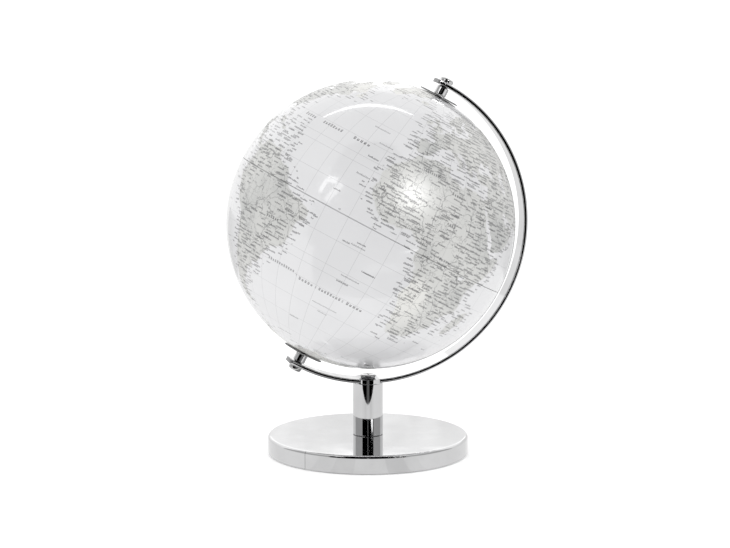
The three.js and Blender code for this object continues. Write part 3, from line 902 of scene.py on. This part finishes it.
CAD_MATERIALS = {
    "base_plate": steel,
    "base_weight": iron,
    "base_bolt_washer": steel,
    "base_bolt": steel,
    "post_foot_plug": steel,
    "north_pole_bush": white_plastic,
    "south_pole_bush": white_plastic,
    "north_half_shell": white_plastic,
    "south_half_shell": white_plastic,
    "equator_ring": white_plastic,
}
for node, material in CAD_MATERIALS.items():
    for material_slot in bpy.data.objects[node].material_slots:
        material_slot.material = material


# ---------------------------------------------------------------- base and post

# Where the seam stands on the base's side, in degrees from the front towards the left.
SEAM_TURN = 50.1
SEAM_WIDTH = 0.45


def distance_along(tree, vector, direction):
    """How far a point lies along a direction from the origin, in millimetres."""
    node = tree.nodes.new("ShaderNodeVectorMath")
    node.operation = "DOT_PRODUCT"
    tree.links.new(vector, node.inputs[0])
    node.inputs[1].default_value = direction
    return Field(tree, node.outputs["Value"]) / MM


def draw_seam(material):
    """Darkens a hair-wide upright line on the base's side, as a joint in its sheet would show."""
    tree = material.node_tree
    colour = tree.nodes["Principled BSDF"].inputs["Base Color"]
    turn = math.radians(SEAM_TURN)
    where = position(tree)
    sideways = distance_along(tree, where, (-math.cos(turn), math.sin(turn), 0))
    outward = distance_along(tree, where, (-math.sin(turn), -math.cos(turn), 0))
    on_side = outward.above(base_radius - 1.2)
    seam = sideways.abs().below(SEAM_WIDTH / 2) * on_side
    plain = colour.links[0].from_socket
    tree.links.new(blend_colours(tree, seam * 0.6, plain, (0.12, 0.12, 0.12)), colour)


def make_base():
    """The pressed cover and its foam pad."""
    edge_round = 2.0
    sheet = 1.0
    middle = base_radius - edge_round
    profile = [(bolt_hole, base_top - sheet)]
    profile += arc(middle, base_top - edge_round, edge_round - sheet, 90, 0, 8)
    profile += [(base_radius - sheet, cover_foot + 0.3), (base_radius - 0.7, cover_foot)]
    profile += arc(base_radius - 0.3, cover_foot + 0.3, 0.3, -90, 0, 4)
    profile += arc(middle, base_top - edge_round, edge_round, 0, 90, 24)
    profile += [(middle - 6, base_top), (bolt_hole, base_top)]
    cover = turned("Base_Cover", profile, sides=256)
    even_shading(cover)
    finish_piece(cover, base_chrome, "stand", "chrome", "base_cover")

    pad_profile = [(0, 0), *arc(pad_radius - 0.4, 0.4, 0.4, -90, 0, 4)]
    pad_profile += [*arc(pad_radius - 0.3, pad_top - 0.3, 0.3, 0, 90, 4), (0, pad_top)]
    pad = turned("Base_Pad", pad_profile, sides=192)
    even_shading(pad)
    finish_piece(pad, foam, "stand", "foam", "base_pad")


def make_post():
    """The tube with its dressed ends, and the saddle whose slot the arm lies in."""
    foot = low_mm("post_tube")
    wall = 1.2
    inner = post_radius - wall
    profile = [(inner, foot), (post_radius - 0.25, foot)]
    profile += arc(post_radius - 0.25, foot + 0.25, 0.25, -90, 0, 4)
    profile += [*arc(post_radius - 0.2, post_top - 0.2, 0.2, 0, 90, 4), (inner, post_top)]
    tube = turned("Post_Tube", profile, sides=192)
    even_shading(tube)
    finish_piece(tube, chrome, "stand", "chrome", "post_tube")

    plug = inner - play
    joint_height = post_top + play
    profile = [(0, saddle_foot), (plug, saddle_foot), (plug, joint_height), (post_radius, joint_height)]
    profile += [(post_radius, saddle_top), (0, saddle_top)]
    saddle = turned("Post_Saddle", profile, sides=192)
    far = 2 * post_radius
    floor = post_top - play
    slot = box("Slot", (-far, -slot_half_width, floor), (far, slot_half_width, saddle_top + 5))
    drill = [(0, saddle_foot + 2), (arm_screw_hole, saddle_foot + 2)]
    drill += [(arm_screw_hole, saddle_top), (0, saddle_top)]
    cut(saddle, [slot, turned("Drill", drill, sides=48)])
    soften(saddle, 0.2)
    finish_piece(saddle, chrome, "stand", "chrome", "post_saddle")


# ---------------------------------------------------------------- arm

def eased(values, half, radius):
    """How far a rounded corner has drawn back at each of the values, half being the full width."""
    past = np.clip(np.abs(values) - (half - radius), 0, radius)
    return radius - np.sqrt(radius * radius - past * past)


def make_arm():
    """The half ring of flat strip, its outer edges rounder than its inner ones, with sawn ends."""
    half = arm_width / 2
    outer_round = 1.2
    inner_round = 0.7
    turns = [math.sin(math.radians(a)) for a in range(0, 91, 10)]
    across = {0.0, 2.0, 4.0}
    for radius in (end_corner, outer_round, inner_round):
        across |= {half - radius + radius * t for t in turns}
    positive = sorted(across)
    lateral = np.array([-y for y in reversed(positive) if y > 0] + positive)
    inner = arm_inner + eased(lateral, half, inner_round)
    outer = arm_outer - eased(lateral, half, outer_round)
    reach = end_beyond_pivot - eased(lateral, half, end_corner)
    count = len(lateral)
    steps = 300
    points = []
    for step in range(steps + 1):
        for radii in (inner, outer):
            beyond = np.arcsin(reach / radii)
            angle = -beyond + (math.pi + 2 * beyond) * step / steps
            points += zip(radii * np.sin(angle), lateral, radii * np.cos(angle))
    faces = []
    ring = 2 * count
    for step in range(steps):
        first = step * ring
        for i in range(count - 1):
            faces.append((first + i, first + i + 1, first + ring + i + 1, first + ring + i))
            low = first + count + i
            faces.append((low, low + ring, low + ring + 1, low + 1))
        last = count - 1
        following = first + ring
        faces.append((first, following, following + count, first + count))
        faces.append((first + last, first + count + last, following + count + last, following + last))
    for first, turn in ((0, 1), (steps * ring, -1)):
        for i in range(count - 1):
            quad = (first + i, first + count + i, first + count + i + 1, first + i + 1)
            faces.append(quad[::turn])
    arm = mesh_object("Arm_Band", points, faces, ball_frame)
    arm.data.materials.append(chrome)
    arm.data.materials.append(sawn_chrome)
    for face in arm.data.polygons[-2 * (count - 1):]:
        face.material_index = 1
    drills = []
    for pole_turn in (1, -1):
        low, high = sorted((pole_turn * (arm_inner - 3), pole_turn * (arm_outer + 3)))
        profile = [(0, low), (pivot_hole, low), (pivot_hole, high), (0, high)]
        drills.append(turned("Drill", profile, ball_frame, sides=48))
    low, high = post_top - 2, saddle_top + 3
    profile = [(0, low), (arm_screw_hole, low), (arm_screw_hole, high), (0, high)]
    drills.append(turned("Drill", profile, sides=48))
    cut(arm, drills)
    soften(arm, 0.18, angle=60)
    finish_piece(arm, None, "stand", "chrome", "arm_band")


# ---------------------------------------------------------------- screws and pivots

# Below 1 makes a screw's head flatter on top and fuller at the shoulder than an ellipse.
HEAD_SQUARENESS = 0.55


def screw(name, tip, seat, head_radius, head_height, shank, place, node):
    """A round-headed screw with a tapered cross recess and a threaded shank."""
    rim = 0.2 * head_height
    thread_pitch = 0.8
    profile = [(0, tip), (0.7 * shank, tip)]
    height = tip + 0.4
    while height < seat - 2:
        profile += [(shank, height), (0.86 * shank, height + thread_pitch / 2)]
        height += thread_pitch
    profile += [(shank, height), (shank, seat), (head_radius - 0.25, seat)]
    profile += arc(head_radius - 0.25, seat + 0.25, 0.25, -90, 0, 4)
    for step in range(25):
        angle = math.radians(90 * step / 24)
        spread = head_radius * math.cos(angle) ** HEAD_SQUARENESS
        lift = (head_height - rim) * math.sin(angle) ** HEAD_SQUARENESS
        profile.append((spread, seat + rim + lift))
    body = turned(name, profile, place, sides=96)
    floor = seat + 0.4 * head_height
    top = seat + head_height + 1
    cutters = []
    for long_x, long_y in ((1, 0), (0, 1)):
        size = [0.09 * head_radius + 0.46 * head_radius * k for k in (long_x, long_y)]
        cutter = box("Cross", (-size[0], -size[1], floor), (size[0], size[1], top))
        for vertex in cutter.data.vertices:
            if vertex.co.z < top * MM - 1e-6:
                vertex.co.x *= 0.72
                vertex.co.y *= 0.72
        cutter.data.transform(place)
        cutters.append(cutter)
    cut(body, cutters)
    soften(body, 0.08)
    finish_piece(body, screw_chrome, "stand", "screw_chrome", node)


def washer(name, inner, outer, low, high, place, material, body, slot, node, edge=0.12):
    """A flat ring with its edges broken."""
    profile = [(inner, low), (outer - edge, low), *arc(outer - edge, low + edge, edge, -90, 0, 3)]
    profile += [*arc(outer - edge, high - edge, edge, 0, 90, 3), (inner, high)]
    ring = turned(name, profile, place, sides=128)
    even_shading(ring)
    finish_piece(ring, material, body, slot, node)


def make_pivots():
    """The stack on the axis at each pole, from the ball outwards."""
    flip = Matrix.Rotation(math.pi, 4, "Y")
    for pole_name, turn in (("North", Matrix.Identity(4)), ("South", flip)):
        place = ball_frame @ turn
        node = pole_name.lower()
        dished = [(pivot_hole, pole_disc_low + 0.25), (6, pole_disc_low + 0.25)]
        dished += [(pole_disc_radius - 0.3, pole_disc_low)]
        dished += arc(pole_disc_radius - 0.3, pole_disc_low + 0.3, 0.3, -90, 60, 6)
        dished += [(pole_disc_radius - 1.2, pole_disc_high - 0.15)]
        dished += [(7, pole_disc_high), (pivot_hole, pole_disc_high)]
        disc = turned(f"{pole_name}_Pole_Plate", dished, place, sides=160)
        even_shading(disc)
        finish_piece(disc, plate_chrome, "ball", "chrome", f"{node}_pole_plate")

        washer(f"{pole_name}_Slip_Washer", pivot_hole, slip_washer_radius, slip_washer_low,
               slip_washer_high, place, white_plastic, "ball", "plastic", f"{node}_slip_washer")
        collar = [(pivot_hole, collar_low), (collar_radius - 0.2, collar_low)]
        collar += arc(collar_radius - 0.2, collar_low + 0.2, 0.2, -90, 0, 4)
        collar += arc(collar_radius - 0.2, collar_high - 0.2, 0.2, 0, 90, 4)
        collar += [(pivot_hole, collar_high)]
        body = turned(f"{pole_name}_Collar", collar, place, sides=128)
        even_shading(body)
        finish_piece(body, chrome, "stand", "chrome", f"{node}_collar")
        washer(f"{pole_name}_Neck_Washer", pivot_hole, neck_washer_radius, neck_washer_low,
               neck_washer_high, place, black_fibre, "stand", "fibre", f"{node}_neck_washer")
        screw(f"{pole_name}_Pivot_Screw", pivot_tip, arm_outer + play, pivot_head_radius,
              pivot_head_height, pivot_radius, place, f"{node}_pivot_screw")


draw_seam(base_chrome)
make_base()
make_post()
make_arm()
make_pivots()
washer("Arm_Screw_Washer", arm_screw_hole, arm_washer_radius, low_mm("arm_screw_washer"),
       screw_seat, Matrix.Identity(4), steel, "stand", "steel", "arm_screw_washer")
screw("Arm_Screw", saddle_foot + 3, screw_seat + play, arm_screw_head_radius,
      arm_screw_head_height, arm_screw_radius, Matrix.Identity(4), "arm_screw")
make_print(printed_map)


# ---------------------------------------------------------------- camera

CAMERA_TURN = math.radians(12.4)
CAMERA_RISE = math.radians(8.28)
CAMERA_DISTANCE = 1.8928
towards_camera = Vector((-math.sin(CAMERA_TURN), -math.cos(CAMERA_TURN), 0))
to_the_right = Vector((math.cos(CAMERA_TURN), -math.sin(CAMERA_TURN), 0))
up = Vector((0, 0, 1))

camera = bpy.data.objects.new("Camera", bpy.data.cameras.new("Camera"))
bpy.context.collection.objects.link(camera)
camera.data.sensor_width = 36
camera.data.lens = 134.76
eye = ball_centre + CAMERA_DISTANCE * (math.cos(CAMERA_RISE) * towards_camera + math.sin(CAMERA_RISE) * up)
AIM_BELOW = 0.0347
AIM_LEFT = 0.0040
aim = ball_centre - AIM_BELOW * up - AIM_LEFT * to_the_right
camera.location = eye
camera.rotation_euler = (aim - eye).to_track_quat("-Z", "Y").to_euler()
camera.data.clip_end = 50
bpy.context.scene.camera = camera


# ---------------------------------------------------------------- stage and light

def glow_material(name, glow, clouds=0.0):
    """A plain lit surface. clouds is how far its brightness strays in soft blotches."""
    material = bpy.data.materials.new(name)
    material.use_nodes = True
    shader = material.node_tree.nodes["Principled BSDF"]
    shader.inputs["Base Color"].default_value = (0, 0, 0, 1)
    shader.inputs["Specular IOR Level"].default_value = 0
    shader.inputs["Emission Color"].default_value = (1, 1, 1, 1)
    shader.inputs["Emission Strength"].default_value = glow
    if clouds:
        tree = material.node_tree
        blotch = noise(tree, position(tree), 14, detail=3).ramp(0.4, 0.6)
        (glow + (blotch - 0.5) * (2 * clouds * glow)).drive(shader.inputs["Emission Strength"])
    return material


def reflected_card(name, corners, glow, clouds=0.0):
    """A lit or black card that shows only in reflections. Corners are in metres."""
    mesh = bpy.data.meshes.new(name)
    mesh.from_pydata([tuple(c) for c in corners], [], [tuple(range(len(corners)))])
    card = bpy.data.objects.new(name, mesh)
    bpy.context.collection.objects.link(card)
    mesh.materials.append(glow_material(name, glow, clouds))
    card.visible_camera = False
    card.visible_diffuse = False
    card.visible_shadow = False
    card.visible_transmission = False
    return card


def heading(angle, rise=0.0):
    """A direction as seen from the object: degrees to the right of the camera, degrees up."""
    turn, lift = math.radians(angle), math.radians(rise)
    level = math.cos(turn) * towards_camera + math.sin(turn) * to_the_right
    return math.cos(lift) * level + math.sin(lift) * up


ROOM = 2.6
WALL_TOP = 2.4


def wall(name, start, end, low, high, glow, distance=ROOM, clouds=0.0):
    """A stretch of wall from one heading to another, in degrees to the right of the camera."""
    parts = max(1, int(abs(end - start) // 15))
    for part in range(parts):
        first = heading(start + (end - start) * part / parts) * distance
        last = heading(start + (end - start) * (part + 1) / parts) * distance
        corners = [first + low * up, last + low * up, last + high * up, first + high * up]
        reflected_card(f"{name}_{part}", corners, glow, clouds)


def lamp_card(name, angle, rise, width, height, glow, tilt=0.0):
    """A small bright card facing the ball, sized in degrees as the ball's centre sees it."""
    distance = 1.9
    middle = ball_centre + heading(angle, rise) * distance
    across = heading(angle + 90)
    upward = heading(angle, rise + 90) if rise < 90 else up
    turn = Matrix.Rotation(math.radians(tilt), 3, heading(angle, rise))
    half_across = turn @ across * (distance * math.tan(math.radians(width / 2)))
    half_up = turn @ upward * (distance * math.tan(math.radians(height / 2)))
    corners = [middle - half_across - half_up, middle + half_across - half_up,
               middle + half_across + half_up, middle - half_across + half_up]
    reflected_card(name, corners, glow)


def ground_card(name, near, far, left, right, glow, height):
    """A level card: near and far are distances towards the camera, left and right across it."""
    corners = [near * towards_camera + left * to_the_right, near * towards_camera + right * to_the_right,
               far * towards_camera + right * to_the_right, far * towards_camera + left * to_the_right]
    reflected_card(name, [c + height * up for c in corners], glow)


def ground_wedge(name, start, end, near, far, glow, height):
    """A level card between two headings, with straight edges near and far from the object."""
    corners = []
    for distance, angle in ((near, start), (near, end), (far, end), (far, start)):
        spread = math.tan(math.radians(angle)) * distance
        corners.append(distance * towards_camera + spread * to_the_right + height * up)
    reflected_card(name, corners, glow)


def make_room():
    """What the glossy ball and the bright metal reflect: a pale table, walls, ceiling and lamps."""
    table_edge = 0.195
    ground_card("Table", 3, -3, -3, 3, 0.95, -0.004)
    ground_wedge("Near_Table", -42, 42, 0.06, table_edge, 0.90, -0.0035)
    ground_wedge("Near_Left_Shade", -26, -10, 0.06, table_edge, 0.84, -0.003)
    ground_wedge("Near_Right_Shade", 14, 30, 0.06, table_edge, 0.82, -0.003)
    ground_wedge("Dark_Front", -43, 43, table_edge, 3, 0.0, -0.003)
    ground_wedge("Dim_Path", -10, 12, table_edge, 3, 0.07, -0.0025)
    ground_wedge("Dim_Path_Middle", -2, 4, table_edge, 3, 0.2, -0.002)
    for name, near, far, left, right, glow in (("Right", 0.34, 0.46, 0.14, 0.24, 0.16),
                                               ("Middle", 0.35, 0.46, -0.02, 0.14, 0.6)):
        ground_card(f"Table_Patch_{name}", near, far, left, right, glow, -0.0015)
    wall("Camera_Side", -43, 43, -0.1, WALL_TOP, 0.0)
    wall("Left_Wall", -110, -43, -0.1, WALL_TOP, 0.52)
    wall("Right_Wall", 43, 110, -0.1, WALL_TOP, 0.52)
    wall("Left_Low_Backdrop", -166, -110, -0.1, 1.0, 1.0)
    wall("Left_High_Backdrop", -166, -110, 1.0, WALL_TOP, 1.2)
    wall("Left_Bright_Backdrop", -166, -150, 0.45, 1.0, 1.2, ROOM - 0.05)
    wall("Backdrop", -194, -166, -0.1, 0.62, 1.04, clouds=0.08)
    wall("High_Backdrop", -194, -166, 0.62, WALL_TOP, 1.6)
    wall("Right_Low_Backdrop", 110, 166, -0.1, 1.0, 0.9)
    wall("Right_High_Backdrop", 110, 166, 1.0, WALL_TOP, 1.2)
    for side in (-1, 1):
        shade = [distance * heading(side * angle) - 0.0035 * up
                 for angle, distance in ((152, 0.5), (152, 3), (112, 3), (112, 0.5))]
        reflected_card("Rear_Table_Shade", shade, 0.6)
    wall("Lamp_Shield", -43, 43, 0.115, 0.30, 0.0, 0.37)
    wall("Stripe", -1.2, 1.2, 0.1, 1.2, 0.4, ROOM - 0.05)
    sliver = [0.4 * heading(angle) + height * up
              for angle, height in ((20, 0.083), (38, 0.083), (36, 0.097), (30, 0.097))]
    reflected_card("Bright_Sliver", sliver, 2.4)
    ground_card("Ceiling_Front", 2.7, -1.35, -2.7, 2.7, 0.8, WALL_TOP)
    ground_card("Ceiling_Back", -1.35, -2.7, -2.7, 2.7, 1.1, WALL_TOP)
    ground_wedge("Dark_Ceiling", -43, 43, 0.6, 2.7, 0.0, WALL_TOP - 0.01)
    strip = [(0.64, -0.70), (0.70, -0.35), (0.725, 0), (0.70, 0.32), (0.64, 0.62),
             (0.60, 0.62), (0.60, 0.32), (0.61, 0), (0.60, -0.35), (0.60, -0.70)]
    above = ball_centre.z + 1.5
    corners = [-behind * towards_camera + aside * to_the_right + above * up for behind, aside in strip]
    reflected_card("Overhead_Strip", corners, 5.0)
    lamp_card("Lamp_Left_Bar", -43.6, 34.5, 3.2, 11.0, 4.0, -12)
    lamp_card("Lamp_Left_Top", -37.5, 39.8, 8.5, 4.5, 4.0)
    lamp_card("Lamp_Left_Slant", -32.5, 31.0, 5.0, 17.0, 2.6, -31)
    lamp_card("Lamp_Right", 36.0, 28.5, 14.0, 14.0, 21.0)


def make_floor():
    """A very wide pale floor, hidden from reflections, which have the table card instead.

    Its own faint glow keeps the shadow under the base light.
    """
    size = 30
    mesh = bpy.data.meshes.new("Floor")
    corners = [(-size, -size, 0), (size, -size, 0), (size, size, 0), (-size, size, 0)]
    mesh.from_pydata(corners, [], [(0, 1, 2, 3)])
    floor = bpy.data.objects.new("Floor", mesh)
    bpy.context.collection.objects.link(floor)
    floor.location.z = -0.0002
    material, tree, shader = new_material("Pale_Floor")
    shader.inputs["Base Color"].default_value = (0.99, 0.99, 0.99, 1)
    shader.inputs["Roughness"].default_value = 0.9
    shader.inputs["Specular IOR Level"].default_value = 0
    shader.inputs["Emission Color"].default_value = (1, 1, 1, 1)
    shader.inputs["Emission Strength"].default_value = 0.22
    mesh.materials.append(material)
    floor.visible_glossy = False


def soft_lamp(name, angle, rise, distance, size, power):
    """A broad soft lamp that lights the object but doesn't show in it."""
    lamp = bpy.data.lights.new(name, "AREA")
    lamp.size = size
    lamp.energy = power
    holder = bpy.data.objects.new(name, lamp)
    bpy.context.collection.objects.link(holder)
    holder.location = ball_centre + heading(angle, rise) * distance
    holder.rotation_euler = (-heading(angle, rise)).to_track_quat("-Z", "Y").to_euler()
    holder.visible_glossy = False
    holder.visible_camera = False


def light_world(brightness):
    """Even light from all round, as in a white studio."""
    world = bpy.data.worlds.new("Studio")
    bpy.context.scene.world = world
    world.use_nodes = True
    background = world.node_tree.nodes["Background"]
    background.inputs["Color"].default_value = (1, 1, 1, 1)
    background.inputs["Strength"].default_value = brightness


make_room()
make_floor()
light_world(1.03)
soft_lamp("Key", -35, 50, 2.2, 1.6, 4)
bpy.context.scene.view_settings.view_transform = "Standard"
